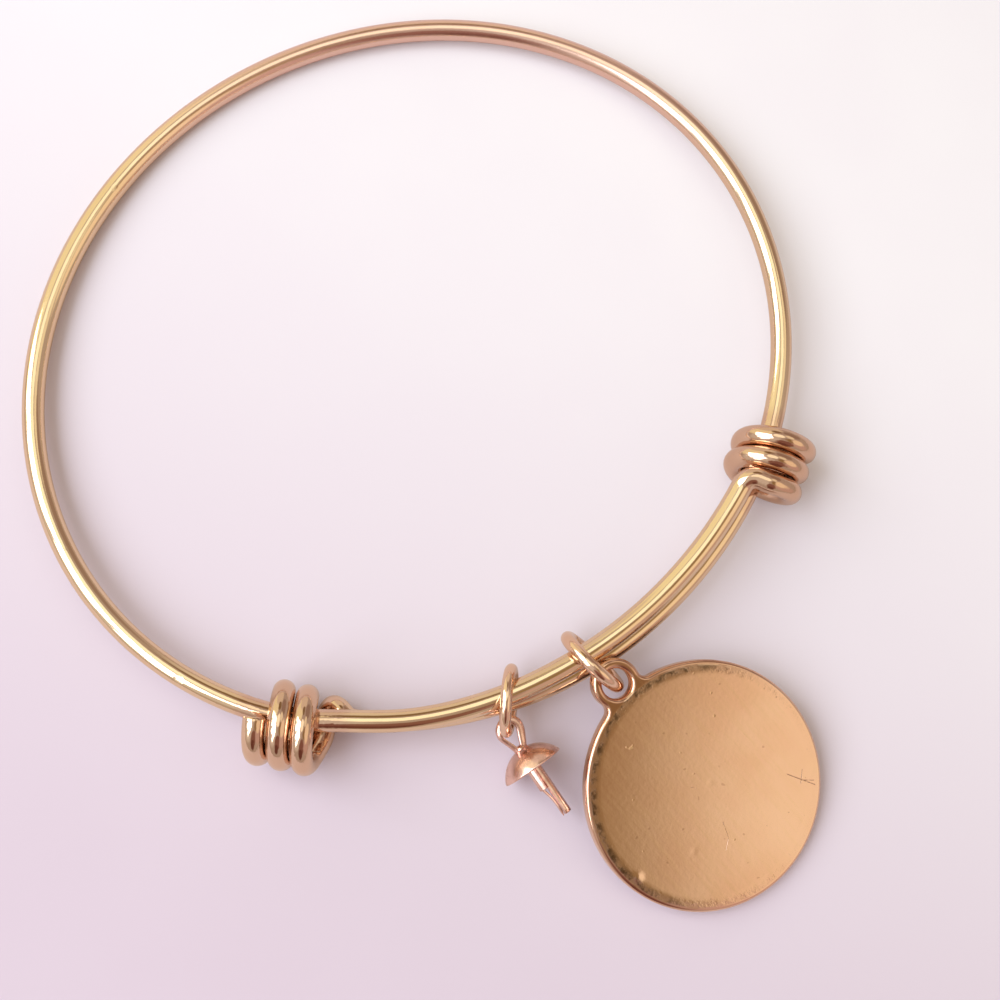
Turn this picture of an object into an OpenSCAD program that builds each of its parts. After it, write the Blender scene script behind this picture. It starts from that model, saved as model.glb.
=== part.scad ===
// Expandable wire bangle with two hanging charms, lying on its side.
// One springy wire makes the whole band. Its two ends run past each other
// at the front, and each end is wound as a small coil round the other
// strand, so the band can open and close. A plain disc charm and an empty
// pearl cup hang on jump rings from the two strands.
// Millimetres, +Z up. The origin is on the table under the middle of the oval.

/* [Wire] */
// Diameter of the band wire
wire_d = 1.8; // [1.7:0.02:1.8]
// Sides of the meshed wire
wire_sides = 16; // [10:1:16]

/* [Oval] */
// Half of the long width, to the wire's middle
oval_long = 32.0; // [31.8:0.1:32.2]
// Half of the short width, to the wire's middle
oval_short = 28.5; // [28.4:0.1:28.6]
// Direction of the long width, in degrees from +X
oval_turn = 39; // [38:0.5:40]
// Rise of the oval from its far side to its front, per unit of length
oval_lean = 0.05; // [0.05:0.005:0.06]

/* [End coils] */
// Radius of a coil, to the wire's middle
coil_r = 2.6; // [2.6:0.02:2.7]
// Advance of a coil in each turn
coil_pitch = 1.86; // [1.86:0.01:1.9]
// Turns from the strand's elbow to the cut end
coil_turns = 2.75; // [2.7:0.01:2.75]

/* [Jump rings] */
// Wire diameter of the disc's jump ring
disc_ring_wire = 1.1; // [0.9:0.05:1.1]
// Wire diameter of the cup's jump ring
cup_ring_wire = 0.95; // [0.8:0.05:0.95]

/* [Disc charm] */
// Diameter of the disc
disc_d = 20; // [19:0.1:20]
// Thickness of the disc
disc_t = 1.3; // [1.1:0.05:1.4]
// Outer diameter of the ear
ear_d = 4.0; // [3.8:0.05:4.0]
// Diameter of the hole in the ear
ear_hole_d = 2.4; // [2.3:0.05:2.6]
// Slope of the disc as it leans on its jump ring, in degrees
disc_slope = 11; // [10.5:0.5:11.5]

/* [Pearl cup] */
// Diameter of the cup's rim
cup_d = 5.2; // [4.8:0.1:5.2]
// Depth of the cup, from its crown to its rim
cup_h = 1.8; // [1.6:0.05:2]
// Thickness of the cup's wall
cup_wall = 0.35; // [0.3:0.01:0.45]
// Diameter of the peg that a half-drilled pearl is glued on
peg_d = 1.1; // [0.9:0.05:1.1]
// Length of the peg beyond the rim
peg_reach = 4.4; // [3.5:0.1:4.6]
// Length of the short leg of the peg beyond the rim
peg_short = 1.9; // [1.5:0.1:2.2]

/* [Hidden] */
$fn = 64;

rose_gold = [0.86, 0.60, 0.47];
pale_gold = [0.89, 0.69, 0.52];

wire_r = wire_d / 2;
front_dir = oval_turn - 90;

// The strand's route. Columns: direction from +X, step outwards from the
// oval, lift above the leaning oval. It starts at the upper strand's elbow,
// passes the front on top, goes once round, and comes back below itself.
ROUTE = [
    [337, -0.93, 2.00],
    [330, -0.95, 1.58],
    [316, -0.92, 0.88],
    [296, -0.80, 0.89],
    [282, -0.55, 0.92],
    [270, -0.35, 0.96],
    [260, -0.33, 0.95],
    [251.5, 0.03, 0.62],
    [244, 0.08, 0.38],
    [225, 0.05, 0.12],
    [200, 0, 0],
    [160, 0, 0],
    [120, 0, 0],
    [80, 0, 0],
    [40, 0, 0],
    [15, 0, 0],
    [0, 0.05, -0.10],
    [-9, 0.10, -0.22],
    [-16, 0.11, -0.35],
    [-23, 0.08, -0.50],
    [-32, 0.03, -0.72],
    [-44, 0, -0.86],
    [-64, 0, -0.88],
    [-78, -0.20, -0.93],
    [-93, -0.42, -0.97],
    [-96.5, -0.42, -0.98]
];
// Rings along the strand between its two elbows
route_steps = 118;
// Rings in one turn of a coil, and for each point of an elbow
turn_steps = 24;
elbow_steps = 3;
// Length that an elbow runs on straight from the strand and from the coil
elbow_lead = 0.55;

// An end coil: middle, direction away from the front, rise along it in
// degrees, side that the first turn goes to, and turn at which the elbow
// joins it.
LEFT_COIL = [[-9.5, -30.0, 3.665], 168, -6, -1, 0.42];
RIGHT_COIL = [[29.0, -8.35, 3.585], 68.4, -1.6, 1, 0.42];

// Points that pull each tight elbow round, from its strand to its coil. The
// lower strand turns inwards, plunges to the table and goes out under the
// upper one. The upper strand turns out over the lower one.
LEFT_ELBOW = [
    [-5.15, -29.4, 2.4],
    [-5.6, -28.8, 2.5],
    [-6.0, -28.35, 2.15],
    [-6.35, -28.25, 1.5],
    [-6.65, -28.75, 0.9],
    [-7.0, -29.65, 0.9],
    [-6.9, -30.6, 0.9]
];
RIGHT_ELBOW = [
    [26.5, -10.2, 5.8],
    [26.95, -9.95, 5.95],
    [27.55, -10.0, 6.1],
    [28.1, -10.3, 6.15],
    [28.65, -10.5, 6.25]
];

disc_ring_r = 2.71;
disc_ring_at = [14.12, -24.78, 3.93];
disc_ring_turn = -43;
disc_ring_lean = 15.5;
cup_ring_r = 2.45;
cup_ring_at = [7.48, -27.87, 3.64];
cup_ring_turn = -94.9;
cup_ring_lean = 12.1;

disc_r = disc_d / 2;
disc_edge = 0.35;
ear_t = 1.2;
ear_edge = 0.3;
ear_reach = 11.05;
neck_round = 0.7;
disc_turn = 133.4;
disc_at = [23.25, -34.4];

cup_crown = [8.5, -31.6];
cup_turn = -55;
eye_wire = 0.66;
eye_r = 1.0;
eye_reach = 1.7;
// Rise of the eye from the crown to its jump ring, in degrees
eye_rise = 8;
collar_r = 0.5;
collar_h = 0.35;
peg_r = peg_d / 2;

// Radius of the oval in a direction
function oval_radius(a) =
    let (t = a - oval_turn)
    oval_long * oval_short
        / norm([oval_short * cos(t), oval_long * sin(t)]);

// Row of the route that a direction falls in
function route_row(a, i = 0) =
    (i >= len(ROUTE) - 2 || a >= ROUTE[i + 1][0]) ? i : route_row(a, i + 1);

// Slope of a column at a row, from its neighbours
function route_slope(i, k) =
    let (p = max(i - 1, 0), q = min(i + 1, len(ROUTE) - 1))
    (ROUTE[q][k] - ROUTE[p][k]) / (ROUTE[q][0] - ROUTE[p][0]);

// A column's value in a direction, on a smooth curve through the rows
function route_value(a, k) =
    let (i = route_row(a),
         h = ROUTE[i + 1][0] - ROUTE[i][0],
         t = (a - ROUTE[i][0]) / h)
    (2 * t ^ 3 - 3 * t ^ 2 + 1) * ROUTE[i][k]
        + (t ^ 3 - 2 * t ^ 2 + t) * h * route_slope(i, k)
        + (3 * t ^ 2 - 2 * t ^ 3) * ROUTE[i + 1][k]
        + (t ^ 3 - t ^ 2) * h * route_slope(i + 1, k);

// A point of the strand in a direction
function strand(a) =
    let (r = oval_radius(a) + route_value(a, 1),
         back = r * cos(a - front_dir - 180))
    [r * cos(a), r * sin(a),
     wire_r + oval_lean * (oval_short - back) + route_value(a, 2)];

function unit(v) = v / norm(v);

// Directions of a coil: along its axis, inwards to the wrist, and up
function coil_axis(c) =
    [cos(c[1]) * cos(c[2]), sin(c[1]) * cos(c[2]), sin(c[2])];
function coil_inward(c) =
    let (w = coil_axis(c), v = [-c[0][0], -c[0][1], 0])
    unit(v - w * (v * w));
function coil_upward(c) =
    let (v = cross(coil_axis(c), coil_inward(c)))
    v[2] < 0 ? -v : v;

// A point of a coil after some turns, and its direction of travel
function coil_point(c, turn) =
    c[0] + coil_r * cos(360 * turn) * coil_inward(c)
        + c[3] * coil_r * sin(360 * turn) * coil_upward(c)
        + coil_pitch * (turn - coil_turns / 2) * coil_axis(c);
function coil_travel(c, turn) =
    unit(coil_point(c, turn + 0.001) - coil_point(c, turn - 0.001));

// Points of a coil from its elbow to its cut end
function coil_points(c) =
    let (n = round(turn_steps * (coil_turns - c[4])))
    [for (i = [0:n]) coil_point(c, c[4] + (coil_turns - c[4]) * i / n)];

// A point between the middle two of four points, on a smooth curve that
// they pull on
function pulled(p, i, t) =
    ((1 - t) ^ 3 * p[i - 1] + (3 * t ^ 3 - 6 * t ^ 2 + 4) * p[i]
        + (1 + 3 * t + 3 * t ^ 2 - 3 * t ^ 3) * p[i + 1] + t ^ 3 * p[i + 2]) / 6;

// Points of an elbow, on a smooth curve from the strand to the coil
function elbow_points(a, side, inner, c) =
    let (p = strand(a),
         b = unit(strand(a + side * 0.1) - strand(a - side * 0.1)) * elbow_lead,
         q = coil_point(c, c[4]),
         d = coil_travel(c, c[4]) * elbow_lead,
         pull = concat([p - b, p, p + b], inner, [q - d, q, q + d]),
         n = (len(pull) - 3) * elbow_steps)
    [for (i = [1:n - 1])
        pulled(pull, 1 + floor(i / elbow_steps), (i % elbow_steps) / elbow_steps)];

function reversed(v) = [for (i = [len(v) - 1:-1:0]) v[i]];

// The whole wire, from the right coil's cut end to the left coil's
function wire_path() =
    let (from = ROUTE[0][0], to = ROUTE[len(ROUTE) - 1][0])
    concat(
        reversed(coil_points(RIGHT_COIL)),
        reversed(elbow_points(from, 1, RIGHT_ELBOW, RIGHT_COIL)),
        [for (i = [0:route_steps]) strand(from + (to - from) * i / route_steps)],
        elbow_points(to, -1, LEFT_ELBOW, LEFT_COIL),
        coil_points(LEFT_COIL));

// Direction of a path at each of its points
function path_travel(p) =
    [for (i = [0:len(p) - 1])
        unit(p[min(i + 1, len(p) - 1)] - p[max(i - 1, 0)])];

// A side direction carried along a path without twisting
function carried_sides(t) =
    [for (i = 0, s = unit(cross(t[0], [0, 0, 1])); i < len(t);
          i = i + 1, s = i < len(t) ? unit(s - t[i] * (s * t[i])) : s) s];

// A round tube along a path
module tube(path, r, sides) {
    travel = path_travel(path);
    across = carried_sides(travel);
    last = len(path) - 1;
    points = [for (i = [0:last], k = [0:sides - 1])
        let (a = 360 * k / sides, up = cross(travel[i], across[i]))
        path[i] + r * (cos(a) * across[i] + sin(a) * up)];
    walls = [for (i = [0:last - 1], k = [0:sides - 1])
        let (a = i * sides + k, b = i * sides + (k + 1) % sides)
        [a, b, b + sides, a + sides]];
    start_cap = [for (k = [sides - 1:-1:0]) k];
    end_cap = [for (k = [0:sides - 1]) last * sides + k];
    polyhedron(points, [for (f = concat(walls, [start_cap, end_cap])) reversed(f)], 2);
}

// A round ring of wire that stands on edge, with its hole along Y
module standing_ring(r, wire) {
    rotate([90, 0, 0]) rotate_extrude() translate([r, 0]) circle(d = wire, $fn = 32);
}

// A plate with rounded edges, turned about Z
module rounded_plate(r, t, edge) {
    rotate_extrude() {
        translate([0, -t / 2]) square([r - edge, t]);
        translate([0, edge - t / 2]) square([r, t - 2 * edge]);
        for (side = [-1, 1])
            translate([r - edge, side * (t / 2 - edge)]) circle(edge, $fn = 32);
    }
}

// Web between the disc and its ear, hollowed by a round on each side
module neck() {
    to_disc = disc_r + neck_round;
    to_ear = ear_d / 2 + neck_round;
    a = acos((to_disc ^ 2 + ear_reach ^ 2 - to_ear ^ 2) / (2 * to_disc * ear_reach));
    round_at = [to_disc * cos(a), to_disc * sin(a)];
    linear_extrude(height = ear_t - 2 * ear_edge, center = true)
        difference() {
            polygon([[disc_r - 1, 0], round_at, [ear_reach, 0], [round_at[0], -round_at[1]]]);
            translate(round_at) circle(neck_round);
            translate([round_at[0], -round_at[1]]) circle(neck_round);
        }
}

module wire_bangle() {
    color(rose_gold) tube(wire_path(), wire_r, wire_sides);
}

module disc_jump_ring() {
    color(rose_gold)
        translate(disc_ring_at) rotate([0, 0, disc_ring_turn]) rotate([disc_ring_lean, 0, 0])
            standing_ring(disc_ring_r, disc_ring_wire);
}

module cup_jump_ring() {
    color(rose_gold)
        translate(cup_ring_at) rotate([0, 0, cup_ring_turn]) rotate([cup_ring_lean, 0, 0])
            standing_ring(cup_ring_r, cup_ring_wire);
}

// The disc's far edge rests on the table and its ear leans on the jump ring
module disc_charm() {
    edge_drop = (disc_r - disc_edge) * sin(disc_slope)
        + (disc_t / 2 - disc_edge) * cos(disc_slope) + disc_edge;
    color(pale_gold)
        translate([disc_at[0], disc_at[1], edge_drop])
            rotate([0, 0, disc_turn]) rotate([0, -disc_slope, 0])
                difference() {
                    union() {
                        rounded_plate(disc_r, disc_t, disc_edge);
                        translate([ear_reach, 0, 0]) rounded_plate(ear_d / 2, ear_t, ear_edge);
                        neck();
                    }
                    translate([ear_reach, 0, 0])
                        cylinder(d = ear_hole_d, h = 2 * ear_t, center = true);
                }
}

// Dome of even thickness, with its crown at the origin and its rim at +Z
module dome() {
    outer = ((cup_d / 2) ^ 2 + cup_h ^ 2) / (2 * cup_h);
    rotate_extrude()
        intersection() {
            translate([0, outer])
                difference() {
                    circle(outer, $fn = 96);
                    circle(outer - cup_wall, $fn = 96);
                }
            square([cup_d, cup_h]);
        }
}

// Peg of two half-round legs, one of them cut short
module peg() {
    translate([0, 0, -collar_h]) cylinder(r = collar_r, h = 2 * collar_h);
    cylinder(r = peg_r, h = cup_h + peg_short);
    linear_extrude(height = cup_h + peg_reach)
        intersection() {
            circle(peg_r);
            translate([0, -peg_r]) square([peg_r, peg_d]);
        }
}

// Teardrop loop behind the crown, in the plane of X and Z
module eye() {
    spread = asin(eye_r / eye_reach);
    leg = eye_reach * cos(spread);
    translate([0, 0, -eye_reach]) rotate([90, 0, 0]) rotate([0, 0, 180 - spread])
        rotate_extrude(angle = 180 + 2 * spread)
            translate([eye_r, 0]) circle(d = eye_wire, $fn = 32);
    for (side = [-1, 1])
        rotate([0, side * spread, 0]) mirror([0, 0, 1])
            cylinder(d = eye_wire, h = leg, $fn = 32);
}

// The cup lies on its rim, with the peg pointing away from the bangle
module pearl_cup() {
    color(rose_gold)
        translate([cup_crown[0], cup_crown[1], cup_d / 2])
            rotate([0, 0, cup_turn]) rotate([0, 90, 0]) rotate([0, 0, 90]) {
                dome();
                peg();
                rotate([eye_rise, 0, 0]) eye();
            }
}

wire_bangle();
disc_jump_ring();
disc_charm();
cup_jump_ring();
pearl_cup();
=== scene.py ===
import math

import bpy
import bmesh
from mathutils import Matrix, Vector
from mathutils.geometry import delaunay_2d_cdt
from bpy.props import FloatProperty, FloatVectorProperty, IntProperty, PointerProperty


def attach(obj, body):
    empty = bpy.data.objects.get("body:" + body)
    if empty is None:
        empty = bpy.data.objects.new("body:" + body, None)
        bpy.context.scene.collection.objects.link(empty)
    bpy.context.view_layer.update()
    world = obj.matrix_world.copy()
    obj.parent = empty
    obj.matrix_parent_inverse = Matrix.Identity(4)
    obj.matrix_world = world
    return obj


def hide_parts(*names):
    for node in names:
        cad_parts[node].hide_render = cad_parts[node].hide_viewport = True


bl_info = {
    "name": "Charm Bangle",
    "version": (1, 0, 0),
    "blender": (4, 5, 0),
    "location": "View3D > Sidebar > Bangle",
    "description": "Expandable wire bangle with a disc charm and an empty pearl cup",
    "category": "Add Mesh",
}

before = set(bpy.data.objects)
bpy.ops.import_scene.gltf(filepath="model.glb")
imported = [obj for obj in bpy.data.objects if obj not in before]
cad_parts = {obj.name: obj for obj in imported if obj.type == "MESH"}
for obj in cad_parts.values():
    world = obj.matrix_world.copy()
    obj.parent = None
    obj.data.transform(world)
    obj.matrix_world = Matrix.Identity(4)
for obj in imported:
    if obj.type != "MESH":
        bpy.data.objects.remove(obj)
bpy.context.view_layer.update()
MM = 0.001

# The band's shape in millimetres and degrees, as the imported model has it.
WIRE_R = 0.9
OVAL_LONG, OVAL_SHORT, OVAL_TURN, OVAL_LEAN = 32.0, 28.5, 39.0, 0.05
COIL_R, COIL_PITCH, COIL_TURNS = 2.6, 1.86, 2.75
# Direction, step outwards from the oval, lift above the leaning oval
ROUTE = (
    (337, -0.93, 2.00), (330, -0.95, 1.58), (316, -0.92, 0.88), (296, -0.80, 0.89),
    (282, -0.55, 0.92), (270, -0.35, 0.96), (260, -0.33, 0.95), (251.5, 0.03, 0.62),
    (244, 0.08, 0.38), (225, 0.05, 0.12), (200, 0, 0), (160, 0, 0), (120, 0, 0),
    (80, 0, 0), (40, 0, 0), (15, 0, 0), (0, 0.05, -0.10), (-9, 0.10, -0.22),
    (-16, 0.11, -0.35), (-23, 0.08, -0.50), (-32, 0.03, -0.72), (-44, 0, -0.86),
    (-64, 0, -0.88), (-78, -0.20, -0.93), (-93, -0.42, -0.97), (-96.5, -0.42, -0.98),
)
# Middle, direction, rise, first side and joining turn of each end coil
LEFT_COIL = (Vector((-9.5, -30.0, 3.665)), 168, -6, -1, 0.42)
RIGHT_COIL = (Vector((29.0, -8.35, 3.585)), 68.4, -1.6, 1, 0.42)
# Points that pull each tight elbow round, from its strand to its coil
LEFT_ELBOW = (
    (-5.15, -29.4, 2.4), (-5.6, -28.8, 2.5), (-6.0, -28.35, 2.15), (-6.35, -28.25, 1.5),
    (-6.65, -28.75, 0.9), (-7.0, -29.65, 0.9), (-6.9, -30.6, 0.9),
)
RIGHT_ELBOW = (
    (26.5, -10.2, 5.8), (26.95, -9.95, 5.95), (27.55, -10.0, 6.1), (28.1, -10.3, 6.15),
    (28.65, -10.5, 6.25),
)
# How far an elbow leaves along its strand and its coil, and its points between two pulls
ELBOW_LEAD = 0.55
ELBOW_STEPS = 8
# Steps to either side, in degrees and in turns, that give a strand's and a coil's direction
STRAND_NEAR, COIL_NEAR = 0.1, 0.001

# Middle, radius, wire, turn and lean of each jump ring
DISC_RING = (Vector((14.12, -24.78, 3.93)), 2.71, 1.1, -43, 15.5)
CUP_RING = (Vector((7.48, -27.87, 3.64)), 2.45, 0.95, -94.9, 12.1)

DISC_R, DISC_T, DISC_SLOPE, DISC_TURN = 10.0, 1.3, 11.0, 133.4
DISC_EDGE = 0.35
EAR_R, EAR_HOLE_R, EAR_T, EAR_REACH, NECK_ROUND = 2.0, 1.2, 1.2, 11.05, 0.7
DISC_MIDDLE = Vector((23.25, -34.4, (DISC_R - DISC_EDGE) * math.sin(math.radians(DISC_SLOPE))
                      + (DISC_T / 2 - DISC_EDGE) * math.cos(math.radians(DISC_SLOPE)) + DISC_EDGE))

CUP_R, CUP_H, CUP_WALL = 2.6, 1.8, 0.35
PEG_R, PEG_REACH, PEG_SHORT = 0.55, 4.4, 1.9
EYE_WIRE, EYE_R, EYE_REACH = 0.66, 1.0, 1.7
CUP_TURN, EYE_RISE = -55.0, 8.0
CUP_CROWN = Vector((8.5, -31.6, CUP_R))

# The photograph's camera, and the point on the table at the image's middle
CAMERA_AT = Vector((-7.50, -34.63, 127.02))
CAMERA_TO = Vector((7.18, -11.14, 0.0))


def linear(red, green, blue):
    """A screen colour of 0 to 255 as the linear colour that shaders take."""
    def channel(v):
        v /= 255
        return v / 12.92 if v <= 0.04045 else ((v + 0.055) / 1.055) ** 2.4
    return tuple(channel(v) for v in (red, green, blue)) + (1.0,)


class Value:
    """A socket that can be added, multiplied and so on, each adding a node."""

    def __init__(self, nodes, socket):
        self.nodes, self.socket = nodes, socket

    def math(self, operation, *others):
        return self.nodes.add("Math", {"operation": operation}, [self, *others])

    def __add__(self, other):
        return self.math("ADD", other)

    __radd__ = __add__

    def __mul__(self, other):
        return self.math("MULTIPLY", other)

    __rmul__ = __mul__

    def __sub__(self, other):
        return self.math("SUBTRACT", other)

    def __rsub__(self, other):
        return self.nodes.add("Math", {"operation": "SUBTRACT"}, [other, self])

    def __truediv__(self, other):
        return self.math("DIVIDE", other)

    def clamped(self):
        return self.math("MAXIMUM", 0.0).math("MINIMUM", 1.0)

    def step(self, low, high):
        """0 at low, 1 at high, and smooth between them."""
        return self.nodes.add("ShaderNodeMapRange", {"interpolation_type": "SMOOTHSTEP"},
                              {"Value": self, "From Min": low, "From Max": high})


class Nodes:
    """A node tree, with one method that adds any node."""

    def __init__(self, tree):
        self.tree = tree
        tree.nodes.clear()

    def add(self, kind, settings=None, inputs=(), output=0):
        if kind in ("Math", "VectorMath", "Mix"):
            kind = "ShaderNode" + kind
        node = self.tree.nodes.new(kind)
        for name, value in (settings or {}).items():
            if name == "captures":
                for item in value:
                    node.capture_items.new(*item)
            else:
                setattr(node, name, value)
        for key, value in (inputs.items() if isinstance(inputs, dict) else enumerate(inputs)):
            if isinstance(value, Value):
                self.tree.links.new(value.socket, node.inputs[key])
            else:
                node.inputs[key].default_value = value
        return Value(self, node.outputs[output])

    def parts(self, vector):
        """The three numbers of a vector."""
        node = self.add("ShaderNodeSeparateXYZ", None, [vector]).socket.node
        return [Value(self, socket) for socket in node.outputs]

    def finish(self, kind, name, value):
        """The tree's output node."""
        node = self.tree.nodes.new(kind)
        self.tree.links.new(value.socket, node.inputs[name])

    def mix(self, factor, first, second):
        """The first colour where the factor is 0, the second where it is 1."""
        return self.add("Mix", {"data_type": "RGBA"}, {0: factor, 6: first, 7: second}, 2)

    def scaled(self, vector, scale):
        return self.add("VectorMath", {"operation": "MULTIPLY"}, [vector, scale])

    def noise(self, vector, scale, detail=2.0, roughness=0.5):
        return self.add("ShaderNodeTexNoise", None, {
            "Vector": vector, "Scale": scale, "Detail": detail, "Roughness": roughness})


# Width of a wire's cut end beside the rest of it, and the angle at which its edges are sharp
CUT_END = 0.80
WIRE_SHARP = 40


def wire_tree():
    """Geometry nodes that turn a path of edges into round wire with eased ends."""
    tree = bpy.data.node_groups.new("bent_wire", "GeometryNodeTree")
    for name, kind in (("Path", "Geometry"), ("Radius", "Float"), ("Sides", "Int"),
                       ("Eased End", "Float"), ("Metal", "Material")):
        tree.interface.new_socket(name=name, in_out="INPUT", socket_type="NodeSocket" + kind)
    tree.interface.new_socket(name="Wire", in_out="OUTPUT", socket_type="NodeSocketGeometry")
    nodes = Nodes(tree)
    inputs = tree.nodes.new("NodeGroupInput")
    path, radius, sides, ease, metal = (Value(nodes, s) for s in inputs.outputs[:5])

    curve = nodes.add("GeometryNodeMeshToCurve", None, {"Mesh": path})
    along = nodes.add("GeometryNodeSplineParameter", None, (), 1)
    whole = nodes.add("GeometryNodeSplineLength")
    to_end = along.math("MINIMUM", whole - along)
    short = 1 - (to_end / ease).clamped()
    eased = CUT_END + (1 - CUT_END) * (1 - short * short).math("SQRT")
    curve = nodes.add("GeometryNodeCaptureAttribute", {"captures": [("FLOAT", "Along")]},
                      {"Geometry": curve, "Along": along})
    along_kept = Value(nodes, curve.socket.node.outputs["Along"])

    profile = nodes.add("GeometryNodeCurvePrimitiveCircle", None,
                        {"Resolution": sides, "Radius": radius})
    place = nodes.add("GeometryNodeInputPosition")
    profile = nodes.add("GeometryNodeCaptureAttribute", {"captures": [("VECTOR", "Round")]},
                        {"Geometry": profile, "Round": place})
    round_kept = Value(nodes, profile.socket.node.outputs["Round"])

    tube = nodes.add("GeometryNodeCurveToMesh", None, {
        "Curve": curve, "Profile Curve": profile, "Scale": eased, "Fill Caps": True})
    unit = nodes.add("VectorMath", {"operation": "DIVIDE"}, [
        round_kept, nodes.add("ShaderNodeCombineXYZ", None, [radius, radius, 1.0])])
    wrapped = nodes.add("ShaderNodeCombineXYZ", None, [*nodes.parts(unit)[:2], along_kept])
    stored = nodes.add("GeometryNodeStoreNamedAttribute",
                       {"data_type": "FLOAT_VECTOR", "domain": "POINT"},
                       {"Geometry": tube, "Name": "wire_place", "Value": wrapped})
    smooth = nodes.add("GeometryNodeSetShadeSmooth", None, {"Geometry": stored})
    real = nodes.add("GeometryNodeRealizeInstances", None, {"Geometry": smooth})
    dressed = nodes.add("GeometryNodeSetMaterial", None, {"Geometry": real, "Material": metal})
    nodes.finish("NodeGroupOutput", "Wire", dressed)
    return tree


def bent_wire(name, points, radius, sides, ease, metal):
    """A plain mesh of wire along points in millimetres."""
    tree = bpy.data.node_groups.get("bent_wire") or wire_tree()
    path = bpy.data.meshes.new(name)
    path.from_pydata([p * MM for p in points], [(i, i + 1) for i in range(len(points) - 1)], [])
    path.materials.append(metal)
    piece = bpy.data.objects.new(name, path)
    bpy.context.scene.collection.objects.link(piece)
    shaper = piece.modifiers.new("shape", "NODES")
    shaper.node_group = tree
    values = {"Radius": radius * MM, "Sides": sides, "Eased End": ease * MM, "Metal": metal}
    for item in tree.interface.items_tree:
        if item.in_out == "INPUT" and item.name in values:
            shaper[item.identifier] = values[item.name]
    bpy.context.view_layer.update()
    graph = bpy.context.evaluated_depsgraph_get()
    mesh = bpy.data.meshes.new_from_object(piece.evaluated_get(graph))
    piece.modifiers.clear()
    piece.data = mesh
    mesh.name = name
    bpy.data.meshes.remove(path)
    mesh.set_sharp_from_angle(angle=math.radians(WIRE_SHARP))
    return piece


def oval_radius(direction):
    t = math.radians(direction - OVAL_TURN)
    return OVAL_LONG * OVAL_SHORT / math.hypot(OVAL_SHORT * math.cos(t), OVAL_LONG * math.sin(t))


def route_slope(row, column):
    p, q = max(row - 1, 0), min(row + 1, len(ROUTE) - 1)
    return (ROUTE[q][column] - ROUTE[p][column]) / (ROUTE[q][0] - ROUTE[p][0])


def route_value(direction, column):
    i = 0
    while i < len(ROUTE) - 2 and direction < ROUTE[i + 1][0]:
        i += 1
    h = ROUTE[i + 1][0] - ROUTE[i][0]
    t = (direction - ROUTE[i][0]) / h
    return ((2 * t ** 3 - 3 * t ** 2 + 1) * ROUTE[i][column]
            + (t ** 3 - 2 * t ** 2 + t) * h * route_slope(i, column)
            + (3 * t ** 2 - 2 * t ** 3) * ROUTE[i + 1][column]
            + (t ** 3 - t ** 2) * h * route_slope(i + 1, column))


def strand(direction):
    """A point of the band's strand, in millimetres."""
    r = oval_radius(direction) + route_value(direction, 1)
    back = r * math.cos(math.radians(direction - OVAL_TURN - 90))
    a = math.radians(direction)
    return Vector((r * math.cos(a), r * math.sin(a),
                   WIRE_R + OVAL_LEAN * (OVAL_SHORT - back) + route_value(direction, 2)))


def coil_axis(coil):
    a, b = math.radians(coil[1]), math.radians(coil[2])
    return Vector((math.cos(a) * math.cos(b), math.sin(a) * math.cos(b), math.sin(b)))


def coil_point(coil, turn):
    axis = coil_axis(coil)
    flat = Vector((-coil[0].x, -coil[0].y, 0))
    inward = (flat - axis * axis.dot(flat)).normalized()
    upward = axis.cross(inward)
    if upward.z < 0:
        upward = -upward
    a = 2 * math.pi * turn
    return (coil[0] + COIL_R * math.cos(a) * inward + coil[3] * COIL_R * math.sin(a) * upward
            + COIL_PITCH * (turn - COIL_TURNS / 2) * axis)


def coil_points(coil, steps, end_steps):
    """Points from the elbow to the cut end, close together at the end."""
    start, last_mm = coil[4], end_steps[-1]
    turn_mm = math.hypot(2 * math.pi * COIL_R, COIL_PITCH)
    body_end = COIL_TURNS - last_mm / turn_mm
    n = round(steps * (body_end - start))
    points = [coil_point(coil, start + (body_end - start) * i / n) for i in range(n)]
    return points + [coil_point(coil, COIL_TURNS - d / turn_mm) for d in reversed(end_steps)]


def pulled(row, i, t):
    """A point between the middle two of four points, on a smooth curve that they pull on."""
    return ((1 - t) ** 3 * row[i - 1] + (3 * t ** 3 - 6 * t ** 2 + 4) * row[i]
            + (1 + 3 * t + 3 * t ** 2 - 3 * t ** 3) * row[i + 1] + t ** 3 * row[i + 2]) / 6


def elbow_points(direction, side, pulls, coil):
    """Points of an elbow, on a smooth curve from the strand to the coil."""
    p, q = strand(direction), coil_point(coil, coil[4])
    near = side * STRAND_NEAR
    lead = (strand(direction + near) - strand(direction - near)).normalized() * ELBOW_LEAD
    back = coil_point(coil, coil[4] + COIL_NEAR) - coil_point(coil, coil[4] - COIL_NEAR)
    back = back.normalized() * ELBOW_LEAD
    row = [p - lead, p, p + lead, *(Vector(v) for v in pulls), q - back, q, q + back]
    return [pulled(row, 1 + i // ELBOW_STEPS, i % ELBOW_STEPS / ELBOW_STEPS)
            for i in range(1, (len(row) - 3) * ELBOW_STEPS)]


# Distances from a cut end at which the wire's path has points
END_STEPS = (0.0, 0.015, 0.04, 0.08, 0.13, 0.19, 0.26)


def band_path(steps):
    first, last = ROUTE[0][0], ROUTE[-1][0]
    return (coil_points(RIGHT_COIL, steps, END_STEPS)[::-1]
            + elbow_points(first, 1, RIGHT_ELBOW, RIGHT_COIL)[::-1]
            + [strand(first + (last - first) * i / (steps * 12)) for i in range(steps * 12 + 1)]
            + elbow_points(last, -1, LEFT_ELBOW, LEFT_COIL)
            + coil_points(LEFT_COIL, steps, END_STEPS))


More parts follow.
